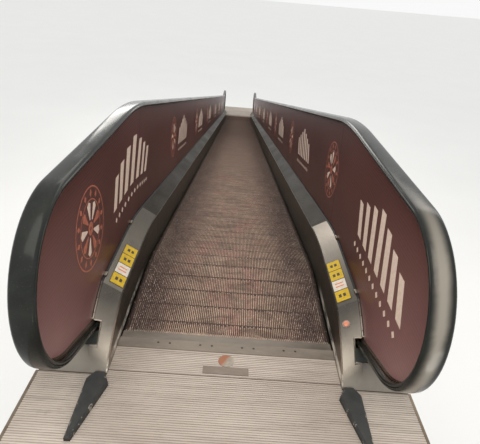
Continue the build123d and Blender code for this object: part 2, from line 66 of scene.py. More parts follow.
# Driving sizes, as in the model
slope = pi / 15
curve_radius = 1.5
curve_start = 0.76
tread = -0.006
skirt_inner = 0.500
skirt_wall = 0.006
skirt_top = 0.190
deck_edge = 0.590
deck_top = 0.240
rail_middle = 0.605
rail_height = 0.900
rail_width = 0.080
rail_depth = 0.030
guide_reach = rail_depth + 0.005
glass_half = 0.006
newel_foot = 0.205
newel_radius = (rail_height - newel_foot) / 2
newel_middle = 0.060
return_slope = pi / 9
return_end = 0.205
nose_start = -0.025
nose_end = 0.292
nose_bulge = 0.030
clamp_half = 0.015
clamp_proud = 0.008
pocket_half = 0.045
pocket_low = -0.052
pocket_high = 0.038
cap_along = 0.095
cap_radius = 0.035
first_joint = 1.05
deck_joint = 1.18
panes = 7
plate_gap = 0.0003

# Places read from the frame
upper_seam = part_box("front_plate_upper")[0].y - plate_gap
lower_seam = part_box("front_plate_lower")[1].y + plate_gap
upper_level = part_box("front_plate_upper")[1].z
lower_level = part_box("front_plate_lower")[1].z
outer_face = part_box("outer_decks")[1].x
arc_run = curve_radius * sin(slope)
arc_length = curve_radius * slope
incline_length = (lower_seam - upper_seam - 2 * (curve_start + arc_run)) / cos(slope)
track_length = 2 * (curve_start + arc_length) + incline_length
ends = ("upper", "lower")
sides = (-1, 1)


def station(distance):
    """Place, height and slope of the track at a distance from the upper seam.

    The lower half is the upper half turned round.
    """
    if distance > track_length / 2:
        along, level, angle = station(track_length - distance)
        return upper_seam + lower_seam - along, upper_level + lower_level - level, angle
    past_level = max(0, distance - curve_start)
    past_arc = max(0, past_level - arc_length)
    angle = min(past_level / curve_radius, slope)
    along = upper_seam + min(distance, curve_start) + curve_radius * sin(angle) + past_arc * cos(slope)
    return along, upper_level - curve_radius * (1 - cos(angle)) - past_arc * sin(slope), angle


def over_track(distance, height):
    """Side-view point at a height square to the track."""
    along, level, angle = station(distance)
    return along + height * sin(angle), level + height * cos(angle)


def place(end, along, height):
    """Side-view point by its distance from the seam of one landing and its height over it."""
    if end == "upper":
        return upper_seam + along, upper_level + height
    return lower_seam - along, lower_level + height


def bends(start, finish):
    """Distances between two places, close together only where the track curves."""
    marks = [start, finish]
    parts = 8
    for begin in (curve_start, track_length - curve_start - arc_length):
        marks += [begin + arc_length * index / parts for index in range(parts + 1)]
    return sorted(mark for mark in set(marks) if start <= mark <= finish)


def spread(start, finish, parts):
    """Even marks from one value to another."""
    return [start + (finish - start) * index / parts for index in range(parts + 1)]


def nose_height(along, width=rail_middle):
    """Height of a housing's top: an arc beside the glass, which falls towards the skirt."""
    run = nose_end - nose_start
    chord = hypot(run, deck_top)
    radius = (chord ** 2 / 4 + nose_bulge ** 2) / (2 * nose_bulge)
    back = (radius - nose_bulge) / chord
    centre_along = (nose_start + nose_end) / 2 + back * deck_top
    crest = deck_top / 2 - back * run + sqrt(radius ** 2 - (along - centre_along) ** 2)
    edge = skirt_inner + skirt_wall
    share = min(1, (width - edge) / (deck_edge - edge))
    return crest * (skirt_top + share * (deck_top - skirt_top)) / deck_top


def return_height(inset, along):
    """Height of a line along the handrail's return under the newel."""
    lowest = pi - return_slope
    radius = newel_radius - inset
    fall = (along + newel_middle + radius * sin(lowest)) * tan(return_slope)
    return rail_height - newel_radius + radius * cos(lowest) - fall


def nose_crossing(inset):
    """Distance from the seam at which a line along the return meets the housing's top."""
    low, high = nose_start, nose_end
    halvings = 30
    for _ in range(halvings):
        middle = (low + high) / 2
        if return_height(inset, middle) > nose_height(middle):
            low = middle
        else:
            high = middle
    return low


def hand(side):
    """Name of one side."""
    return "right" if side > 0 else "left"


# Gathering points and faces into pieces

def link_object(name, data):
    """New object in the scene."""
    made = bpy.data.objects.new(name, data)
    bpy.context.scene.collection.objects.link(made)
    return made


class Shape:
    """Points and faces of one piece, gathered before its mesh is made."""

    def __init__(self):
        self.points = []
        self.faces = []
        self.finishes = []

    def add(self, points, faces, finish=0):
        self.points.extend(points)
        self.add_faces(len(points), faces, finish)

    def add_faces(self, count, faces, finish):
        """More faces between the last points that were added."""
        start = len(self.points) - count
        for face in faces:
            self.faces.append([start + index for index in face])
            self.finishes.append(finish)

    def block(self, low, high, finish=0):
        """Block between two corners."""
        points = [(x, y, z) for z in (low[2], high[2]) for y in (low[1], high[1]) for x in (low[0], high[0])]
        faces = [(4, 5, 7, 6), (0, 1, 5, 4), (2, 6, 7, 3), (0, 4, 6, 2), (1, 3, 7, 5), (0, 2, 3, 1)]
        self.add(points, faces, finish)

    def cross_block(self, end, start, reach, widths, heights, finish=0):
        """Block between two distances from the seam of one landing, two widths and two heights over it."""
        edges = [place(end, along, 0)[0] for along in (start, reach)]
        low, high = [place(end, 0, height)[1] for height in heights]
        self.block((min(widths), min(edges), low), (max(widths), max(edges), high), finish)

    def ribbon(self, rows, finish=0):
        """Solid bar through closed sections of the same number of points."""
        count = len(rows[0])
        faces = []
        for row in range(len(rows) - 1):
            for index in range(count):
                after = (index + 1) % count
                near, far = row * count, (row + 1) * count
                faces.append((near + index, near + after, far + after, far + index))
        last = (len(rows) - 1) * count
        faces.append(tuple(range(count - 1, -1, -1)))
        faces.append(tuple(range(last, last + count)))
        self.add([point for row in rows for point in row], faces, finish)

    def moved(self, matrix, start=0):
        """Carries the points gathered since start to another place."""
        self.points[start:] = [tuple(matrix @ Vector(point)) for point in self.points[start:]]

    def make(self, name, materials, smooth=False):
        mesh = bpy.data.meshes.new(name)
        mesh.from_pydata(self.points, [], self.faces)
        outward(mesh)
        for material in materials:
            mesh.materials.append(material)
        mesh.polygons.foreach_set("material_index", self.finishes)
        mesh.polygons.foreach_set("use_smooth", [smooth] * len(self.faces))
        mesh.update()
        piece = link_object(name, mesh)
        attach(piece, "root")
        return piece


def outward(mesh):
    """Turns the faces of every closed shell in a mesh outwards."""
    work = bmesh.new()
    work.from_mesh(mesh)
    bmesh.ops.recalc_face_normals(work, faces=work.faces)
    work.to_mesh(mesh)
    work.free()


# Node graphs for the materials

even = (1, 1, 1)


class Finish:
    """A material with its shader, and short ways to add textures to it."""

    def __init__(self, name, **sockets):
        self.material = bpy.data.materials.new(name)
        self.material.use_nodes = True
        self.tree = self.material.node_tree
        self.shader = self.tree.nodes["Principled BSDF"]
        for socket, value in sockets.items():
            self.shader.inputs[socket.replace("_", " ")].default_value = value
        self.base = None
        self.heights = None

    def node(self, kind, **numbers):
        """A node, with the numbers of its sockets."""
        made = self.tree.nodes.new(kind)
        for socket, number in numbers.items():
            made.inputs[socket].default_value = number
        return made

    def link(self, source, target):
        self.tree.links.new(source, target)

    def texture(self, kind, stretch, **numbers):
        """A texture in object coordinates in metres, stretched by a scale on each axis."""
        made = self.node(kind, **numbers)
        mapping = self.node("ShaderNodeMapping", Scale=stretch)
        self.link(self.node("ShaderNodeTexCoord").outputs["Object"], mapping.inputs["Vector"])
        self.link(mapping.outputs["Vector"], made.inputs["Vector"])
        return made

    def noise(self, scale, stretch=even, detail=3, rough=0.55, twist=0):
        """Cloudy values about 0.5, by scale, stretch, detail, roughness and twist."""
        made = self.texture("ShaderNodeTexNoise", stretch, Scale=scale, Detail=detail, Roughness=rough,
                            Distortion=twist)
        return made.outputs["Fac"]

    def part(self, axis, vector=None):
        """One axis of the object coordinates, or of another vector."""
        split = self.node("ShaderNodeSeparateXYZ")
        self.link(vector or self.node("ShaderNodeTexCoord").outputs["Object"], split.inputs[0])
        return split.outputs[axis]

    def upward(self):
        """How far the surface faces up."""
        return self.part("Z", self.node("ShaderNodeNewGeometry").outputs["Normal"])

    def math(self, operation, first, second=0.0):
        made = self.node("ShaderNodeMath")
        made.operation = operation
        for socket, value in zip(made.inputs, (first, second)):
            if isinstance(value, (int, float)):
                socket.default_value = value
            else:
                self.link(value, socket)
        return made.outputs[0]

    def times(self, first, second):
        return self.math("MULTIPLY", first, second)

    def plus(self, first, second):
        return self.math("ADD", first, second)

    def range(self, value, low, high, to_low=0, to_high=1, smooth=False):
        """Values from low to high, carried to others and held at the ends."""
        made = self.node("ShaderNodeMapRange")
        made.clamp = True
        made.interpolation_type = "SMOOTHSTEP" if smooth else "LINEAR"
        for index, number in enumerate((low, high, to_low, to_high), start=1):
            made.inputs[index].default_value = number
        self.link(value, made.inputs[0])
        return made.outputs[0]

    def past(self, end, none, full, smooth=False):
        """Mask by the distance from the seam of one landing: nothing at the first, full at the second."""
        return self.range(self.part("Y"), place(end, none, 0)[0], place(end, full, 0)[0], smooth=smooth)

    def over(self, end, none, full):
        """Mask by the height over one landing: nothing at the first, full at the second."""
        return self.range(self.part("Z"), place(end, 0, none)[1], place(end, 0, full)[1])

    def tones(self, mask, dark, light):
        """Starts the colour with two tones."""
        self.base = dark
        self.cover(mask, light)

    def cover(self, mask, colour):
        """Lays a colour over the present one, as far as a mask says."""
        made = self.node("ShaderNodeMix")
        made.data_type = "RGBA"
        self.link(mask, made.inputs[0])
        for socket, value in ((made.inputs[6], self.base), (made.inputs[7], colour)):
            if isinstance(value, tuple):
                socket.default_value = (*value, 1)
            else:
                self.link(value, socket)
        self.base = made.outputs[2]
        self.link(self.base, self.shader.inputs["Base Color"])

    def patches(self, noise, none, full, share, colour):
        """Lays a colour over the parts where a noise is high, up to a share."""
        self.cover(self.range(self.noise(*noise), none, full, 0, share), colour)

    def metallic(self, mask, none, full):
        self.link(self.range(mask, 0, 1, none, full), self.shader.inputs["Metallic"])

    def roughness(self, source, least, most, low=0.3, high=0.7):
        self.link(self.range(source, low, high, least, most), self.shader.inputs["Roughness"])

    def bump(self, height, depth, strength):
        """Adds relief of this depth in metres."""
        made = self.node("ShaderNodeBump", Distance=depth, Strength=strength)
        self.link(height, made.inputs["Height"])
        if self.heights:
            self.link(self.heights, made.inputs["Normal"])
        self.heights = made.outputs["Normal"]
        self.link(self.heights, self.shader.inputs["Normal"])


def rgb(red, green, blue):
    """Colour from the 0 to 255 values that a screen shows."""
    def linear(value):
        share = value / 255
        return share / 12.92 if share <= 0.04045 else ((share + 0.055) / 1.055) ** 2.4
    return linear(red), linear(green), linear(blue)


def shade(colour, share):
    """Darker or paler colour."""
    return tuple(min(1, share * part) for part in colour)


# Materials

def grained(name, dark, light, noise, tones, gloss, relief=None, **sockets):
    """Two tones from one noise, which also varies the gloss and the relief."""
    f = Finish(name, **sockets)
    grain = f.noise(*noise)
    f.tones(f.range(grain, *tones), dark, light)
    f.roughness(grain, *gloss)
    if relief:
        f.bump(grain, *relief)
    return f


def brushed(name, dark, light, rough, stretch=(140, 3, 140), grime=None, scuffed=None, painted_ramp_shade=None,
            painted_highlight=None):
    """Brushed metal: fine lines one way, cloudy smears and a few scratches.

    It can be scuffed by feet near the floors, where the paler colour is also a painted reflection of the
    pale landing; darkened between the first and last deck joints, as painted shade for dark reflections
    there; and given a painted highlight just before those joints on the right.
    """
    edge = 0.001
    f = Finish(name, Metallic=1, Anisotropic=0.35, Specular_IOR_Level=0.02,
               Specular_Tint=(0.7, 0.68, 0.65, 1))
    lines = f.noise(4, stretch, 4, 0.6)
    clouds = f.noise(3.2, (1, 0.6, 1), 4, 0.6, 0.6)
    f.tones(f.range(clouds, 0.3, 0.7), dark, light)
    f.cover(f.times(lines, 0.35), shade(light, 0.55))
    if grime:
        f.patches((6, even, 5, 0.7), 0.5, 0.75, 0.6, grime)
    # Painted shade: between the first and last deck joints the decks are darker and less metallic, for dark
    # reflections.
    if painted_ramp_shade:
        ramp = f.times(*[f.past(end, deck_joint, deck_joint + 2 * edge) for end in ends])
        f.cover(f.times(ramp, f.range(clouds, 0.3, 0.7, 0.82, 1)), painted_ramp_shade)
        f.metallic(ramp, 1, 0.12)
    # Painted highlight: a pale band on the right deck just before the deck joints.
    if painted_highlight:
        start, full = 0.42, 0.95
        spots = [f.times(f.past(end, start, full, smooth=True), f.past(end, deck_joint + edge, deck_joint))
                 for end in ends]
        f.cover(f.times(f.plus(*spots), f.range(f.part("X"), 0, 0.1, 0, 0.34)), painted_highlight)
    # Paler near the floors: scuffing, and a painted reflection of the pale landing.
    if scuffed:
        spots = [f.times(f.over(end, 0.13, 0.03), f.past(end, 0.32, 0.25)) for end in ends]
        f.cover(f.times(f.plus(*spots), f.range(clouds, 0.3, 0.6, 0.5, 0.8)), scuffed)
    f.patches((9, (30, 1.2, 30), 2), 0.66, 0.72, 0.4, shade(light, 1.5))
    f.roughness(f.plus(lines, clouds), rough - 0.08, rough + 0.14, 0.7, 1.3)
    f.bump(lines, 0.00012, 0.5)
    f.bump(clouds, 0.0012, 0.12)
    return f.material


def rubber_black():
    """Handrail rubber: dark and glossy, with a painted highlight along the crest of the right-hand newels."""
    highlight_shift = 0.006
    f = Finish("handrail_rubber", IOR=1.22, Coat_Weight=0.05, Coat_Roughness=0.08)
    smear = f.noise(7, (1, 0.5, 1), 4, 0.6, 0.8)
    f.tones(f.range(smear, 0.35, 0.7), rgb(28, 30, 28), rgb(42, 44, 41))
    f.patches((160,), 0.62, 0.75, 0.2, rgb(92, 88, 80))
    # Painted highlight: a pale band along the crest of the rail, on the right-hand newels only.
    width = f.math("ABSOLUTE", f.part("X"))
    off_highlight = f.math("ABSOLUTE", f.math("SUBTRACT", width, rail_middle - highlight_shift))
    crest = f.range(f.plus(off_highlight, f.times(smear, 0.02)), 0.042, 0.012, smooth=True)
    newels = f.math("MAXIMUM", *[f.past(end, 0.1, -0.3) for end in ends])
    right_side = f.range(f.part("X"), -0.1, 0.1, 0, 0.9)
    f.cover(f.times(crest, f.times(newels, right_side)), rgb(140, 134, 124))
    f.roughness(smear, 0.1, 0.26)
    f.bump(smear, 0.0015, 0.12)
    f.bump(f.noise(420, even, 2), 0.0001, 0.25)
    return f.material


def skirt_metal():
    """Dark coated skirt: rubbed bare beside the landings, with a pale line along its foot there, partly wear
    and partly a painted highlight.
    """
    f = Finish("skirt_metal")
    lines = f.noise(3, (60, 2, 90), 4, 0.6)
    clouds = f.noise(2.4, (1, 0.4, 1), 4, 0.6, 0.5)
    f.tones(f.range(clouds, 0.3, 0.7), rgb(70, 69, 62), rgb(96, 94, 84))
    f.patches((5, (1, 0.8, 14), 4, 0.7), 0.56, 0.72, 0.45, rgb(126, 118, 106))
    bare = f.math("MAXIMUM", *[f.past(end, 0.26, 0.14) for end in ends])
    f.cover(f.times(bare, 0.75), rgb(138, 124, 112))
    # Painted highlight, partly wear: a pale, less metallic line along the skirt's foot near the upper
    # landing.
    foot = f.times(f.over("upper", 0.004, 0.012), f.over("upper", 0.046, 0.034))
    foot = f.times(foot, f.past("upper", 0.75, 0.5))
    foot = f.times(foot, f.range(f.noise(9, (1, 1, 3), 4, 0.7), 0.36, 0.56))
    f.cover(foot, rgb(222, 216, 204))
    f.metallic(foot, 0.85, 0)
    f.roughness(f.plus(lines, clouds), 0.26, 0.46, 0.7, 1.3)
    f.bump(lines, 0.0002, 0.4)
    return f.material


def rib_metal():
    """Tops of the pallet ribs: rubbed pale and pink in the middle, brown and dirty at the sides, darker
    further down the ramp as painted shade, and with a dark band along both edges that is painted shade,
    partly dirt.
    """
    f = Finish("pallet_rib", Metallic=0.2, Specular_IOR_Level=0.03, Specular_Tint=(0.4, 0.34, 0.3, 1))
    across = f.math("ABSOLUTE", f.part("X"))
    middle = f.range(across, 0.14, 0.44, 1, 0, smooth=True)
    streak = f.noise(2.6, (5, 1.1, 1), 6, 0.72, 0.9)
    f.tones(f.range(f.plus(f.times(middle, 0.5), streak), 0.45, 1.1), rgb(80, 66, 64), rgb(188, 161, 140))
    pink = f.range(f.noise(3.4, (1.6, 0.8, 1), 5, 0.7, 0.6), 0.5, 0.62, 0, 0.6)
    f.cover(f.times(pink, middle), rgb(178, 128, 118))
    f.patches((5.2, (2.4, 0.5, 1), 5, 0.7, 0.4), 0.54, 0.66, 0.5, rgb(146, 138, 122))
    f.patches((70, (1.6, 1, 1), 5, 0.8), 0.5, 0.62, 0.62, rgb(222, 200, 186))
    f.patches((6, (1, 1.8, 1), 6, 0.75, 1), 0.47, 0.66, 0.6, rgb(72, 58, 56))
    # Painted shade: the ribs turn darker and browner further down the ramp.
    f.cover(f.times(f.past("upper", 2.5, 10), 0.85), rgb(70, 46, 30))
    # Painted shade, partly dirt: a dark band along both edges of the belt, beside the skirts.
    f.cover(f.range(across, 0.474, 0.482), rgb(46, 39, 35))
    f.roughness(streak, 0.48, 0.74)
    f.bump(f.noise(240, (1, 0.5, 1)), 0.0003, 0.5)
    return f.material


def landing_metal(name, dark, light, grooves):
    """Cast landing plates: pale, worn along the ribs, with tramped-in dirt and dark spots."""
    f = Finish(name, Metallic=0.25)
    clouds = f.noise(2.6, (0.5, 1.2, 1), 5, 0.6, 0.5)
    rubbed = f.noise(9, (0.5, 9, 1), 4, 0.62, 0.3)
    f.tones(f.range(clouds, 0.32, 0.68), dark, light)
    f.cover(f.range(rubbed, 0.45, 0.7, 0, 0.55), grooves)
    f.patches((14, even, 6, 0.75), 0.6, 0.74, 0.35, rgb(128, 114, 98))
    spots = f.texture("ShaderNodeTexVoronoi", even, Scale=34)
    f.cover(f.range(spots.outputs["Distance"], 0, 0.07, 0.3, 0), rgb(92, 82, 72))
    f.roughness(f.plus(clouds, rubbed), 0.36, 0.6, 0.7, 1.3)
    f.bump(rubbed, 0.0004, 0.35)
    return f.material


def smooth_worn(name, dark, light, rough, metal=0.8):
    """Smooth machined plate, scuffed every way."""
    f = grained(name, dark, light, (5, (0.7, 1.4, 1), 5, 0.62, 0.6), (0.32, 0.68),
                (rough - 0.08, rough + 0.16), Metallic=metal)
    f.patches((40, (0.5, 3, 1), 4, 0.7), 0.55, 0.72, 0.35, shade(light, 1.35))
    f.bump(f.noise(120, even, 4, 0.7), 0.0002, 0.35)
    return f.material


def comb_metal():
    """Comb segments: grey on top, pale and dusty at the tips of the teeth."""
    f = grained("comb_metal", rgb(96, 88, 79), rgb(128, 119, 108), (9, (0.6, 1.5, 1), 5, 0.62), (0.3, 0.7),
                (0.36, 0.55), Metallic=0.5)
    f.cover(f.range(f.upward(), 0.985, 0.90, 0, 0.85), rgb(196, 180, 162))
    f.bump(f.noise(150), 0.0002, 0.4)
    return f.material


def wedge_plastic():
    """Charcoal moulded guides with a few rubbed scratches on their bevels."""
    f = grained("guide_plastic", rgb(38, 39, 38), rgb(56, 56, 54), (24, even, 5, 0.7), (0.3, 0.7),
                (0.48, 0.68), Specular_IOR_Level=0.4)
    chips = f.range(f.noise(38, even, 4, 0.7), 0.58, 0.64)
    f.cover(f.times(chips, f.range(f.upward(), 0.95, 0.75)), rgb(150, 142, 130))
    f.bump(f.noise(260), 0.0003, 0.5)
    return f.material


def painted(name, dark, light, rough=0.5, streaks=0.35):
    """Factory paint on the covers: slight waves, dust and runs downwards."""
    f = Finish(name, Specular_IOR_Level=0.45)
    clouds = f.noise(1.6, even, 5, 0.6, 0.4)
    f.tones(f.range(clouds, 0.3, 0.7), dark, light)
    f.patches((10, (4, 4, 0.5), 4, 0.6), 0.52, 0.75, streaks, shade(dark, 0.6))
    f.roughness(clouds, rough - 0.06, rough + 0.14)
    f.bump(f.noise(320, even, 2), 0.0002, 0.35)
    f.bump(clouds, 0.004, 0.15)
    return f.material


def film_vinyl():
    """Maroon vinyl film with a fine wavy sheen, partly from its gloss and partly a painted sheen, and painted
    light that makes it paler low on the newels.
    """
    f = Finish("film_vinyl", Coat_Weight=0.2, Coat_Roughness=0.25, Specular_IOR_Level=0.35)
    bands = f.texture("ShaderNodeTexWave", (1, 0.25, 1), Scale=24, Distortion=5, Detail=2)
    bands.bands_direction = "Z"
    waves = bands.outputs["Fac"]
    clouds = f.noise(1.1, (1, 0.7, 1), 4, 0.55, 0.5)
    f.tones(f.range(clouds, 0.3, 0.7), rgb(62, 32, 29), rgb(84, 46, 41))
    # Painted light: the film is paler low on the newels.
    low = f.times(f.over("upper", 0.85, 0.2), f.past("upper", 0.45, -0.2))
    f.cover(f.times(low, 0.9), rgb(156, 114, 112))
    # Painted sheen: the wave bands are painted paler as well as glossier.
    f.cover(f.times(waves, 0.14), rgb(136, 96, 94))
    f.roughness(waves, 0.36, 0.5, 0, 1)
    f.bump(waves, 0.0002, 0.15)
    return f.material


def print_ink(name, dark, light):
    """Ink of the printed shapes, slightly uneven."""
    return grained(name, dark, light, (70, even, 5, 0.7), (0.35, 0.7), (0.4, 0.55),
                   Specular_IOR_Level=0.35).material


def strip_vinyl(name, dark, light):
    """Vinyl of the strips, scuffed by feet."""
    f = grained(name, dark, light, (46, even, 5, 0.72), (0.35, 0.6), (0.36, 0.56), (0.0003, 0.2),
                Specular_IOR_Level=0.2)
    f.patches((120, (1, 3, 1), 3, 0.7), 0.62, 0.72, 0.5, rgb(96, 84, 50))
    return f.material


def cap_metal():
    """Round cap, with its orange paint left on one half of a slanted line."""
    across, down = 30, 18
    f = Finish("cap_metal", Metallic=0.4)
    patch = f.noise(38, even, 5, 0.7)
    f.tones(f.range(patch, 0.35, 0.65), rgb(138, 130, 118), rgb(170, 160, 146))
    slant = f.plus(f.times(f.part("X"), -across), f.times(f.part("Y"), down))
    middle = down * (upper_seam + cap_along) + 0.6
    blur = 0.35
    slant = f.plus(slant, f.times(patch, 1.2))
    f.cover(f.range(slant, middle - blur, middle + blur, 0, 0.85), rgb(150, 88, 54))
    f.roughness(patch, 0.4, 0.62)
    f.bump(patch, 0.0006, 0.4)
    return f.material


seal = grained("seal_rubber", rgb(20, 20, 20), rgb(42, 41, 39), (90, even, 4), (0.4, 0.7),
               (0.55, 0.75), (0.0004, 0.3), Specular_IOR_Level=0.35).material
bristles = grained("bristle_nylon", rgb(26, 29, 26), rgb(66, 70, 63), (900, even, 2), (0.45, 0.75),
                   (0.45, 0.7), Specular_IOR_Level=0.4).material
glass = grained("panel_glass", rgb(232, 243, 237), rgb(214, 229, 221), (2, even, 2, 0.5), (0.3, 0.8),
                (0, 0.03, 0.4, 0.8), Transmission_Weight=1, IOR=1.12).material
button = grained("button_plastic", rgb(208, 124, 90), rgb(228, 158, 128), (180, even, 4, 0.7), (0.4, 0.7),
                 (0.32, 0.5), (0.0002, 0.3), Specular_IOR_Level=0.5, Coat_Weight=0.2).material
rib_groove = grained("pallet_groove", rgb(72, 59, 55), rgb(122, 103, 93), (60, (2, 0.6, 1), 4, 0.65),
                     (0.35, 0.7), (0.6, 0.85), (0.0006, 0.4), Metallic=0.1,
                     Specular_IOR_Level=0.15).material
rib_top = rib_metal()
rib_end = strip_vinyl("pallet_dirt", rgb(58, 46, 42), rgb(98, 80, 72))
landing_finishes = [
    landing_metal("landing_rib", rgb(175, 164, 153), rgb(197, 187, 176), rgb(154, 142, 131)),
    landing_metal("landing_groove", rgb(160, 147, 136), rgb(180, 168, 157), rgb(134, 121, 110)),
    strip_vinyl("seam_dirt", rgb(58, 47, 38), rgb(86, 72, 58)),
]
# Deck colours: a scuff that is also a painted reflection, painted shade on the ramp and a painted highlight
# on the right.
decks = brushed("deck_steel", rgb(84, 80, 74), rgb(104, 99, 92), 0.34, scuffed=rgb(150, 143, 132),
                painted_ramp_shade=rgb(46, 42, 36), painted_highlight=rgb(186, 178, 168))
clamp = brushed("clamp_metal", rgb(120, 112, 102), rgb(170, 160, 148), 0.32, (60, 20, 60))
pale_clamp = brushed("clamp_pale", rgb(170, 160, 146), rgb(206, 196, 180), 0.36, (60, 20, 60))
dark_steel = smooth_worn("dark_steel", rgb(50, 46, 42), rgb(76, 70, 64), 0.5, 0.6)
covers = painted("cladding_paint", rgb(96, 97, 98), rgb(118, 118, 117))
truss_paint = painted("truss_paint", rgb(62, 64, 66), rgb(80, 81, 82), 0.6)
rubber = rubber_black()
film = film_vinyl()
cream = print_ink("ink_cream", rgb(222, 198, 180), rgb(240, 220, 204))
copper = print_ink("ink_copper", rgb(160, 92, 74), rgb(196, 124, 100))
yellow = strip_vinyl("strip_yellow", rgb(190, 155, 6), rgb(212, 177, 20))
pale = strip_vinyl("strip_pale", rgb(202, 192, 176), rgb(224, 215, 202))
orange = strip_vinyl("strip_orange", rgb(206, 106, 52), rgb(222, 132, 78))
strip_dark = strip_vinyl("strip_dark", rgb(50, 44, 36), rgb(74, 64, 50))

# The finish of each CAD node that stays, by its name without the landing
FINISH_OF = {
    "truss_housing": truss_paint,
    "pallet_rails": truss_paint,
    "side_covers": covers,
    "soffit_panels": covers,
    "end_plate": covers,
    "support_flange": painted("flange_paint", rgb(70, 72, 73), rgb(92, 92, 90), 0.6, 0.5),
    "floor_frame": brushed("frame_steel", rgb(104, 92, 80), rgb(140, 127, 112), 0.36, grime=rgb(70, 58, 48)),
    "comb_plate": smooth_worn("comb_plate_metal", rgb(106, 96, 86), rgb(138, 128, 116), 0.45, 0.5),
    "comb": comb_metal(),
    "newel_housings": decks,
    "inner_decks": decks,
    "outer_decks": brushed("outer_deck_steel", rgb(78, 73, 66), rgb(98, 92, 83), 0.36),
    "handrail_inlets": bristles,
    "handrail_guides": brushed("guide_metal", rgb(96, 88, 80), rgb(138, 128, 118), 0.3, (90, 20, 90)),
    "newel_clamps": pale_clamp,
    "trolley_guides": wedge_plastic(),
    "stop_button": button,
    "stop_ring": brushed("ring_metal", rgb(120, 116, 110), rgb(160, 156, 150), 0.3, (80, 80, 80)),
    "access_cap": cap_metal(),
    "skirt_panels": skirt_metal(),
    "glass_clamps": seal,
    "glass_panels": glass,
    "bare_plate": smooth_worn("bare_plate_metal", rgb(110, 98, 89), rgb(140, 128, 118), 0.42),
}


def dress_nodes():
    """Gives each CAD node its finish."""
    for name, piece in nodes.items():
        family = name
        for end in ends:
            family = family.removesuffix("_" + end)
        if family in FINISH_OF:
            piece.data.materials.clear()
            piece.data.materials.append(FINISH_OF[family])


# Ribbed pallets

rib_pitch = 0.0095
rib_width = 0.0045
rib_deep = 0.009
belt_half = 0.494
pallet_pitch = 0.1333
pallet_gap = 0.0033
pallet_thick = 0.030
first_pallet = 0.212
rib_reach = 0.0018
dirt_least = 0.004
dirt_most = 0.016


def rib_edges():
    """Left and right edge of every rib across the pallets."""
    count = int((2 * belt_half - rib_pitch) / rib_pitch)
    first = -(count - 1) * rib_pitch / 2
    groove_half = (rib_pitch - rib_width) / 2
    grooves = [first + index * rib_pitch for index in range(count)]
    lefts = [-belt_half] + [middle + groove_half for middle in grooves]
    rights = [middle - groove_half for middle in grooves] + [belt_half]
    return list(zip(lefts, rights))


def pallet_rib(shape, left, right, stations):
    """One rib of a pallet, whose top is dirty past the second station."""
    floor = tread - rib_deep
    points = [(x, along, tread) for along in stations for x in (left, right)]
    points += [(x, along, floor) for along in (stations[0], stations[-1]) for x in (left, right)]
    shape.add(points, [(0, 1, 3, 2)])
    shape.add_faces(len(points), [(2, 3, 5, 4)], 2)
    shape.add_faces(len(points), [(0, 2, 4, 8, 6), (1, 7, 9, 5, 3), (0, 6, 7, 1), (4, 5, 9, 8)], 1)


def pallet_treads():
    """The run of ribbed pallets, each set square to the track.

    Every other rib reaches over the joint, close to the next pallet, with less dirt on its end.
    """
    shape = Shape()
    run = track_length - 2 * first_pallet
    count = int(run / pallet_pitch)
    half = (pallet_pitch - pallet_gap) / 2
    edges = rib_edges()
    for index in range(count):
        y, z, angle = station(first_pallet + run / count * (index + 0.5))
        start = len(shape.points)
        for number, (left, right) in enumerate(edges):
            reach, share = (rib_reach, 0.3) if number % 2 else (0, 1)
            dirty = share * random.uniform(dirt_least, dirt_most)
            pallet_rib(shape, left, right, (-half, half - dirty, half + reach))
        shape.block((-belt_half, -half, tread - pallet_thick), (belt_half, half, tread - rib_deep), 1)
        shape.moved(Matrix.Translation((0, y, z)) @ Matrix.Rotation(-angle, 4, "X"), start)
    piece = shape.make("pallet_treads", [rib_top, rib_groove, rib_end])
    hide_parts("pallet_band")


# Ribbed landing plates

landing_pitch = 0.0105
landing_rib = 0.0062
landing_deep = 0.0022
plate_thick = 0.025
leaf = 0.6
floor_run = 1.2
frame_rim = 0.012
front_plate_end = 0.146
hole_clear = 0.002


def plate_base(shape, end, start, finish, half):
    """Body of one plate under its ribs, between two distances from the seam."""
    shape.cross_block(end, start, finish, (-half, half), (-plate_thick, -landing_deep), 1)


def seam_dirt(shape, end, start, finish, half):
    """Packed dirt in the groove beside a seam."""
    shape.cross_block(end, start, finish, (-half, half), (-landing_deep, -landing_deep / 2), 2)


def rib_spans(half, along, round_hole):
    """Stretches of one rib, which stops on both sides of a round hole."""
    middle, radius = round_hole
    away = abs(along - middle)
    if away >= radius:
        return [(-half, half)]
    gap = sqrt(radius ** 2 - away ** 2)
    return [(-half, -gap), (gap, half)]


def plate_ribs(shape, end, start, finish, half_at, round_hole=(0, 0)):
    """Ribs across one plate, each as wide as the plate is there."""
    count = int((finish - start) / landing_pitch)
    spare = (finish - start - count * landing_pitch + landing_pitch - landing_rib) / 2
    for index in range(count):
        near = start + spare + index * landing_pitch
        far = near + landing_rib
        half = min(half_at(near), half_at(far))
        for widths in rib_spans(half, near + landing_rib / 2, round_hole):
            shape.cross_block(end, near, far, widths, (-landing_deep, 0))


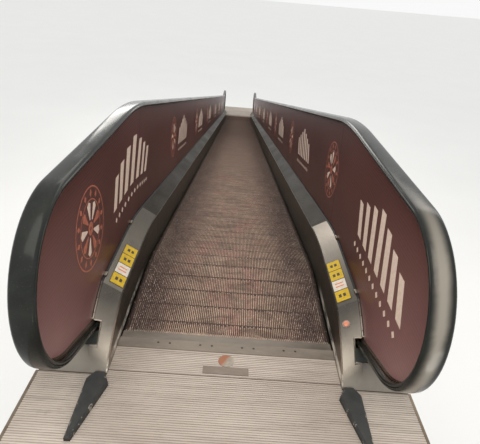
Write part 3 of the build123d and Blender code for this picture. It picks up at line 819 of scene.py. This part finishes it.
def landing_plates(end):
    """Ribbed floor plates and front plate of one landing."""
    wide = outer_face
    narrow = skirt_inner - plate_gap
    turn = nose_start - 2 * plate_gap
    dirt = (landing_pitch - landing_rib) / 2 - plate_gap
    rim = -floor_run + frame_rim + plate_gap

    def leaf_half(along):
        return wide if along < turn else narrow

    floor = Shape()
    for seam in (-leaf, 0):
        for near in (seam - plate_gap - dirt, seam + plate_gap):
            if near < 0:
                seam_dirt(floor, end, near, near + dirt, leaf_half(seam - plate_gap))
    plate_base(floor, end, rim, -leaf - plate_gap, wide)
    plate_ribs(floor, end, rim, -leaf - plate_gap, leaf_half)
    plate_base(floor, end, -leaf + plate_gap, turn, wide)
    plate_base(floor, end, turn, -plate_gap, narrow)
    plate_ribs(floor, end, -leaf + plate_gap, -plate_gap, leaf_half)
    piece = floor.make("floor_ribs_" + end, landing_finishes)
    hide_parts("floor_plates_" + end)

    front = Shape()
    far = front_plate_end - plate_gap
    seam_dirt(front, end, plate_gap, plate_gap + dirt, narrow)
    plate_base(front, end, plate_gap, far, narrow)
    plate_ribs(front, end, plate_gap, far, leaf_half, (cap_along, cap_radius + hole_clear))
    piece = front.make("front_ribs_" + end, landing_finishes)
    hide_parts("front_plate_" + end)


# Handrails

def newel_point(end, angle, inset=0):
    """Side-view point of a line round the newel, by the angle from its top."""
    radius = newel_radius - inset
    height = rail_height - newel_radius + radius * cos(angle)
    return place(end, -newel_middle - radius * sin(angle), height)


def rail_path():
    """Points and outward directions of the handrail's outer line, from return to return."""
    lowest = pi - return_slope
    steps = 40

    def newel(end, angle):
        turn = -1 if end == "upper" else 1
        return (*newel_point(end, angle), turn * sin(angle), cos(angle))

    def inner_end(end):
        y, z, out_y, out_z = newel(end, lowest)
        turn = 1 if end == "upper" else -1
        run = return_end + newel_middle + newel_radius * sin(lowest)
        return y + turn * run, z - run * tan(return_slope), out_y, out_z

    path = [inner_end("upper")]
    path += [newel("upper", angle) for angle in spread(lowest, 0, steps)[:-1]]
    for distance in bends(-newel_middle, track_length + newel_middle):
        angle = station(distance)[2]
        path.append((*over_track(distance, rail_height), sin(angle), cos(angle)))
    path += [newel("lower", angle) for angle in spread(0, lowest, steps)[1:]]
    path.append(inner_end("lower"))
    return path


def rail_section():
    """Rounded section of the handrail: width and depth, inwards from its outer line."""
    half = rail_width / 2
    mouth = 0.020
    mouth_depth = 0.014
    lip = 0.009
    shoulder = 0.013
    crown_drop = 0.004
    steps = 6
    points = [(mouth, mouth_depth), (mouth, rail_depth)]
    for radius, middle, begin in ((lip, rail_depth - lip, 90), (shoulder, shoulder, 0)):
        for angle in spread(radians(begin), radians(begin - 90), steps):
            points.append((half - radius + radius * cos(angle), middle + radius * sin(angle)))
    points += [(share * (half - shoulder), 0) for share in (0.75, 0.5, 0.25, 0)]
    points = [(width, depth + crown_drop * (width / half) ** 2 if depth < shoulder else depth)
              for width, depth in points]
    return points + [(-width, depth) for width, depth in reversed(points) if width > 0]


def handrail(side):
    """Smooth rubber handrail of one side."""
    shape = Shape()
    section = rail_section()
    rows = []
    for y, z, out_y, out_z in rail_path():
        rows.append([(side * (rail_middle + width), y - depth * out_y, z - depth * out_z)
                     for width, depth in section])
    shape.ribbon(rows)
    piece = shape.make("rail_rubber_" + hand(side), [rubber], smooth=True)
    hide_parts("handrail_" + hand(side))


# Film on the glass, with its printed shapes

film_inset = guide_reach + 0.0015
film_low = deck_top + 0.012
film_clear = 0.002
film_gap = 0.0015
film_off = glass_half + 0.0006
ink_off = film_off + 0.0004
sheet_gap = 0.0001


def track_side(end, distance, height):
    """Side-view point square to the track, counted from either end."""
    return over_track(distance if end == "upper" else track_length - distance, height)


def newel_outline(end, joint):
    """Side view of an end pane's film: round the newel, then along the housing and the decks."""
    lowest = pi - return_slope
    crest = rail_height - film_inset
    outline = [track_side(end, distance, crest) for distance in reversed(bends(-newel_middle, joint))]
    outline += [newel_point(end, angle, film_inset) for angle in spread(0, lowest, 28)[1:]]
    landing = nose_crossing(film_inset + film_clear) - film_clear
    outline.append(place(end, landing, return_height(film_inset, landing)))
    for along in spread(landing, nose_end, 8):
        outline.append(place(end, along, nose_height(along) + clamp_proud + film_clear))
    outline += [track_side(end, distance, film_low) for distance in bends(nose_end + film_clear, joint)]
    return outline


def pane_joints():
    """Distances of the joints between the panes."""
    return spread(first_joint, track_length - first_joint, panes)


def flat_sheet(shape, side, loops, off, under, finish=0):
    """Thin sheet inside the glass of one side, of a side-view outline and any holes in it.

    Its inner face is off the glass's middle, and it lies on a face that is under it.
    """
    points = [point for loop in loops for point in loop]
    count = len(points)
    outlines = [[Vector((y, z, 0)) for y, z in loop] for loop in loops]
    faces = [tuple(face) for face in tessellate_polygon(outlines)]
    faces += [tuple(count + index for index in reversed(face)) for face in faces]
    start = 0
    for loop in loops:
        for index in range(len(loop)):
            here = start + index
            after = start + (index + 1) % len(loop)
            faces.append((here, after, count + after, count + here))
        start += len(loop)
    widths = side * (rail_middle - off), side * (rail_middle - under - sheet_gap)
    shape.add([(x, y, z) for x in widths for y, z in points], faces, finish)


def films():
    """Film on the inner face of every pane of both sides."""
    joints = pane_joints()
    for side in sides:
        shape = Shape()
        for end in ends:
            flat_sheet(shape, side, [newel_outline(end, first_joint - film_gap)], film_off, glass_half)
        for start, finish in zip(joints, joints[1:]):
            marks = bends(start + film_gap, finish - film_gap)
            top = [over_track(mark, rail_height - film_inset) for mark in marks]
            low = [over_track(mark, film_low) for mark in reversed(marks)]
            flat_sheet(shape, side, [top + low], film_off, glass_half)
        shape.make("film_" + hand(side), [film])


def ink(shape, side, finish, *outlines):
    """A printed shape and any hole in it, from points of distance along the track and height over it."""
    loops = [[over_track(distance, height) for distance, height in outline] for outline in outlines]
    flat_sheet(shape, side, loops, ink_off, film_off, finish)


def slanted_bars(shape, side, start):
    """A group of leaning bars, tallest in the middle."""
    count = 7
    width, pitch, lean = 0.058, 0.105, 0.07
    low, high = 0.46, 0.72
    for index in range(count):
        left = start + index * pitch
        share = 1 - abs(2 * index / (count - 1) - 1)
        top = low + (high - low) * (0.6 + 0.4 * share)
        right = left + width
        ink(shape, side, 0, [(left, low), (right, low), (right + lean, top), (left + lean, top)])


def diamonds(shape, side, start):
    """A row of small diamonds under a group of bars."""
    count = 12
    inset, pitch = 0.04, 0.06
    height, half = 0.40, 0.016
    for index in range(count):
        middle = start + inset + pitch * index
        points = [(-half, 0), (0, -half), (half, 0), (0, half)]
        ink(shape, side, 0, [(middle + along, height + up) for along, up in points])


def rosette(shape, side, middle):
    """Round ornament: rings with leaf shapes between them, around a star of rays and a small ring."""
    height, radius = 0.56, 0.18
    circle_steps = 48

    def polar(spots):
        """Points from shares of the radius and angles."""
        return [(middle + share * radius * cos(angle), height + share * radius * sin(angle))
                for share, angle in spots]

    def ring(outer, inner):
        angles = [2 * pi * index / circle_steps for index in range(circle_steps)]
        ink(shape, side, 1, *[polar([(share, angle) for angle in angles]) for share in (outer, inner)])

    ring(1, 0.965)
    ring(0.70, 0.675)
    petals = 14
    half = 0.36 * pi / petals
    petal = ((0.74, 0), (0.83, half), (0.93, 0), (0.83, -half))
    for index in range(petals):
        turn = 2 * pi * index / petals
        ink(shape, side, 1, polar([(share, turn + angle) for share, angle in petal]))
    rays = 9
    half = 0.55 * pi / rays
    root = 0.4 * half
    ray = ((0.22, -root), (0.60, -half), (0.66, 0), (0.60, half), (0.22, root))
    for index in range(rays):
        turn = 2 * pi * index / rays + pi / 2
        ink(shape, side, index % 2, polar([(share, turn + angle) for share, angle in ray]))
    ring(0.16, 0.05)


def prints():
    """Printed shapes on the film: groups of bars over rows of diamonds, and rosettes between them."""
    period = 2.3
    group_room = 1
    rosette_room = 0.2

    def starts(first, room):
        count = int((track_length - first - room) / period) + 1
        return [first + index * period for index in range(count)]

    for side, first_group, first_rosette in ((-1, 0.56, 0.22), (1, -0.16, 1.22)):
        shape = Shape()
        for start in starts(first_group, group_room):
            slanted_bars(shape, side, start)
            diamonds(shape, side, start)
        for middle in starts(first_rosette, rosette_room):
            rosette(shape, side, middle)
        shape.make("prints_" + hand(side), [cream, copper])


# Strips on the decks

strip_start = 0.320
strip_length = 0.340
strip_width = 0.074
strip_inset = 0.001
strip_rise = 0.0013
strip_lift = 0.0002
field_thick = 0.0004
mark_thick = 0.0001


def marker_fields():
    """Strips of four plain fields: three yellow, and one pale with two orange bars."""
    shape = Shape()
    fields = 4
    pale_field = 1
    field = strip_length / fields
    border = 0.003
    under = strip_rise - field_thick
    # Marks on a field: left and right edge, start as a share of the field, length and finish
    squares = [(left, left + 0.014, 0.35, 0.024, 1) for left in (0.018, 0.040)]
    bars = [(0.016, strip_width - 0.016, share, 0.008, 3) for share in (0.30, 0.60)]
    edge = skirt_inner + skirt_wall + plate_gap
    lean = atan2(deck_top - skirt_top, deck_edge - edge)
    spot = Matrix.Translation((edge, upper_seam + strip_start, upper_level + skirt_top))
    slide = Matrix.Translation((strip_inset, 0, 0))
    for side in sides:
        start = len(shape.points)
        shape.block((0, 0, strip_lift), (strip_width, strip_length, under), 1)
        for index in range(fields):
            finish, marks = (2, bars) if index == pale_field else (0, squares)
            low = index * field + border
            high = (index + 1) * field - border
            shape.block((border, low, under), (strip_width - border, high, strip_rise), finish)
            for left, right, share, length, mark_finish in marks:
                near = low + share * (high - low)
                far = near + length
                shape.block((left, near, strip_rise), (right, far, strip_rise + mark_thick), mark_finish)
        shape.moved(spot @ Matrix.Rotation(-lean, 4, "Y") @ slide, start)
        if side < 0:
            shape.moved(Matrix.Scale(-1, 4, Vector((1, 0, 0))), start)
    piece = shape.make("marker_fields", [yellow, strip_dark, pale, orange])
    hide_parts("marker_strips")


# Brushes in the handrail inlets

def inlet_brushes(end):
    """Short bristles around the handrail where it goes into the housing."""
    shape = Shape()
    gap = rail_width / 2 + 0.002
    low = nose_crossing(pocket_low) + 0.004
    high = nose_crossing(pocket_high) - 0.002
    recess = 0.006
    row_drop = 0.003
    tip_play = 0.006
    rows = 3
    tufts = 46
    for side in sides:
        for row in range(rows):
            for index in range(tufts):
                along = low + (index + random.random()) / tufts * (high - low)
                height = nose_height(along) - (recess + row_drop * row)
                for flank in sides:
                    root = rail_middle + flank * pocket_half
                    tip = rail_middle + flank * (gap + tip_play * random.random())
                    bristle_blade(shape, end, side, root, tip, along, height)
    shape.make("inlet_bristles_" + end, [bristles])


def bristle_blade(shape, end, side, root, tip, along, height):
    """One tuft: a thin blade from the frame towards the handrail."""
    thick = 0.0011
    rise = 0.0012
    tip_play = 0.004
    droop = 0.003 * random.random()
    y0, z0 = place(end, along - thick, height)
    y1, z1 = place(end, along + thick, height + rise)
    y2, z2 = place(end, along + tip_play * (random.random() - 0.5), height - droop)
    foot = (side * root, (y0 + y1) / 2, z0 - thick)
    points = [(side * root, y0, z0), (side * root, y1, z1), foot, (side * tip, y2, z2)]
    shape.add(points, [(0, 1, 3), (1, 2, 3), (2, 0, 3), (2, 1, 0)])


def mouth_frames(end):
    """Thin pale frames around the mouths of the handrail pockets."""
    shape = Shape()
    rim = 0.004
    proud = 0.001
    sunk = 0.002
    brush_top = 0.0045
    low = nose_crossing(pocket_low)
    high = nose_crossing(pocket_high)
    inner = rail_middle - pocket_half - plate_gap
    outer = rail_middle + pocket_half + plate_gap
    split = clamp_half + 2 * plate_gap

    def bar(side, spots):
        """Bar between pairs of places, given by distance and width."""
        rows = []
        for pair in spots:
            row = []
            for along, width in pair:
                surface = nose_height(along, width)
                top = max(surface, nose_height(along) - brush_top) + proud
                row.append([(side * width, *place(end, along, height)) for height in (surface - sunk, top)])
            (near_base, near_top), (far_base, far_top) = row
            rows.append([near_base, near_top, far_top, far_base])
        shape.ribbon(rows)

    for side in sides:
        for width in (inner - rim, outer):
            bar(side, [((mark, width), (mark, width + rim)) for mark in spread(low, high, 6)])
        for along in (low - rim, high + plate_gap):
            for span in ((inner - rim, rail_middle - split), (rail_middle + split, outer + rim)):
                bar(side, [((along, width), (along + rim, width)) for width in span])
    shape.make("mouth_frames_" + end, [clamp])


# Screws

def screw(shape, spot, radius, tilt=0):
    """Low screw head, with a dark raised cross as painted shade in place of a cross recess."""
    start = len(shape.points)
    count = 16
    rim_height = 0.0007
    crown_height = 0.0009
    cross_height = crown_height + 0.0002
    points = []
    for size, height in ((radius, 0), (0.86 * radius, rim_height)):
        for index in range(count):
            angle = 2 * pi * index / count
            points.append((size * cos(angle), size * sin(angle), height))
    points.append((0, 0, crown_height))
    faces = [(i, (i + 1) % count, count + (i + 1) % count, count + i) for i in range(count)]
    faces += [(count + i, count + (i + 1) % count, 2 * count) for i in range(count)]
    faces.append(tuple(range(count - 1, -1, -1)))
    shape.add(points, faces)
    # Painted shade: dark raised bars stand in for the cross recess.
    arm = 0.6 * radius
    thin = 0.13 * radius
    for wide, deep in ((arm, thin), (thin, arm)):
        shape.block((-wide, -deep, rim_height), (wide, deep, cross_height), 1)
    shape.moved(Matrix.Translation(spot) @ Matrix.Rotation(tilt, 4, "X"), start)


def comb_screws(end):
    """Pairs of dark screws that hold the comb plate."""
    shape = Shape()
    pairs = 4
    spacing = 0.195
    apart = 0.054
    along = 0.184
    radius = 0.0055
    for index in range(pairs):
        for share in (-0.5, 0.5):
            x = (index - (pairs - 1) / 2) * spacing + share * apart
            screw(shape, (x, *place(end, along, 0)), radius)
    shape.make("comb_screws_" + end, [dark_steel, strip_dark])


# Seals and small clamps along the glass

def glass_seals():
    """Black seals that close the slot between the decks and the glass."""
    top = 0.006
    foot = -0.013
    far_top = -0.001
    clear = 0.0005
    marks = bends(nose_end, track_length - nose_end)
    for side in sides:
        shape = Shape()
        for face in sides:
            near = rail_middle + face * glass_half
            far = rail_middle + face * (clamp_half - clear)
            profile = [(near, top), (far, far_top), (far, foot), (near, foot)]
            shape.ribbon([[(side * x, *over_track(mark, deck_top + height)) for x, height in profile]
                          for mark in marks])
        shape.make("glass_seal_" + hand(side), [seal])


def joint_seals():
    """Thin seals in the joints between the panes."""
    half = 0.00145
    heights = (deck_top - 0.01, rail_height - guide_reach + 0.001)
    corners = ((-film_off, -half), (film_off, -half), (film_off, half), (-film_off, half))
    shape = Shape()
    for side in sides:
        for joint in pane_joints():
            shape.ribbon([[(side * rail_middle + x, *over_track(joint + along, height))
                           for x, along in corners] for height in heights])
    shape.make("joint_seals", [seal])


def nose_trims(end):
    """Black gaskets and small screws on the clamps, from the inlets up to the folds."""
    shape = Shape()
    marks = spread(nose_crossing(pocket_high) + 0.004, nose_end, 8)
    wide = 0.0035
    tall = 0.004
    short = 0.4 * tall
    step = 0.001
    screw_radius = 0.0027
    screw_inset = 0.003
    turn = 1 if end == "upper" else -1
    for side in sides:
        for face in sides:
            near = rail_middle + face * (glass_half + plate_gap)
            far = near + face * wide
            rows = []
            for mark in marks:
                base = nose_height(mark) + clamp_proud
                corners = [(near, base), (near, base + tall), (far, base + short), (far, base)]
                rows.append([(side * x, *place(end, mark, height)) for x, height in corners])
            shape.ribbon(rows, 1)
            middle = rail_middle + face * (clamp_half - screw_inset)
            for mark in marks[1::3]:
                spot = (side * middle, *place(end, mark, nose_height(mark) + clamp_proud))
                slant = atan2(nose_height(mark + step) - nose_height(mark), step)
                screw(shape, spot, screw_radius, turn * slant)
    shape.make("nose_trims_" + end, [clamp, seal])


def glass_blocks(end):
    """Small pale clamp blocks at the foot of the glass, just past the fold."""
    shape = Shape()
    length = 0.03
    heights = (deck_top - 0.004, deck_top + 0.010)
    inner = rail_middle - glass_half - 0.0122
    outer = rail_middle - glass_half - 0.001
    for side in sides:
        for along in (0.335, 0.86):
            shape.cross_block(end, along, along + length, (side * inner, side * outer), heights)
    piece = shape.make("glass_blocks_" + end, [pale_clamp])
    bevel = piece.modifiers.new("edges", "BEVEL")
    bevel.width = 0.0015
    bevel.segments = 2


# Camera, lights and floor

world_level = 0.95
sensor_width = 36
focal_pixels = 450.4
photo_pixels = 480
eye_across = -0.0297
eye_before = 1.4
eye_height = 1.495
camera_yaw = radians(1.47)
camera_pitch = radians(27.77)
camera_roll = radians(4.89)


def camera():
    """Camera at the photograph's place and angle."""
    data = bpy.data.cameras.new("camera")
    data.sensor_width = sensor_width
    data.lens = sensor_width * focal_pixels / photo_pixels
    data.clip_start = 0.01
    data.clip_end = 200
    eye = link_object("camera", data)
    eye.matrix_world = Matrix.Translation((eye_across, *place("upper", -eye_before, eye_height)))
    for axis, angle in (("Z", -camera_yaw), ("X", pi / 2 - camera_pitch), ("Z", camera_roll)):
        eye.matrix_world = eye.matrix_world @ Matrix.Rotation(angle, 4, axis)
    bpy.context.scene.camera = eye


def area_lamp(name, spot, aim, size, power, colour):
    """Soft rectangular lamp that looks at a point."""
    data = bpy.data.lights.new(name, "AREA")
    data.shape = "RECTANGLE"
    data.size, data.size_y = size
    data.energy = power
    data.color = colour
    lamp = link_object(name, data)
    lamp.location = spot
    lamp.rotation_mode = "QUATERNION"
    lamp.rotation_quaternion = (Vector(aim) - Vector(spot)).to_track_quat("-Z", "Y")


def studio_floor():
    """Wide pale floor just under the model."""
    reach = 300
    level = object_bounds()[0].z - 0.002
    corners = [(-reach, -reach, level), (reach, -reach, level), (reach, reach, level), (-reach, reach, level)]
    mesh = bpy.data.meshes.new("studio_floor")
    mesh.from_pydata(corners, [], [(0, 1, 2, 3)])
    ground = Finish("studio_floor", Specular_IOR_Level=0.2)
    cloud = ground.noise(0.4)
    ground.tones(cloud, rgb(234, 234, 232), rgb(240, 240, 238))
    ground.roughness(cloud, 0.7, 0.85)
    mesh.materials.append(ground.material)
    plane = link_object("studio_floor", mesh)
    plane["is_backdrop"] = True


def studio():
    """Pale floor, even world light and a few large soft lamps."""
    bpy.context.scene.view_settings.view_transform = "Standard"
    world = bpy.data.worlds.new("studio")
    world.use_nodes = True
    bpy.context.scene.world = world
    background = world.node_tree.nodes["Background"]
    background.inputs["Color"].default_value = (1, 1, 1, 1)
    background.inputs["Strength"].default_value = world_level
    studio_floor()
    area_lamp("over_landing", (-0.4, -0.6, 4.2), (0, 0.9, 0.2), (3, 3), 120, (1, 0.95, 0.88))
    area_lamp("low_right", (2, -1.35, -1.4), (rail_middle, 0.85, 0.7), (0.9, 1.6), 28, (1, 0.97, 0.92))
    area_lamp("far_panel", (-2.6, 13, 3.4), (0.55, 2.2, 0.4), (4, 2), 150, (1, 0.97, 0.92))
    area_lamp("over_ramp", (1.5, 7, 4.6), (0, 7.5, -1), (3, 8), 200, (1, 0.96, 0.9))
    area_lamp("far_end", (-1.5, 16.5, 1.8), (0, 17, -3), (4, 5), 120, (1, 0.97, 0.92))


# Everything together

dress_nodes()
pallet_treads()
for end in ends:
    landing_plates(end)
    inlet_brushes(end)
    mouth_frames(end)
    nose_trims(end)
    comb_screws(end)
    glass_blocks(end)
for side in sides:
    handrail(side)
films()
prints()
marker_fields()
glass_seals()
joint_seals()
camera()
studio()
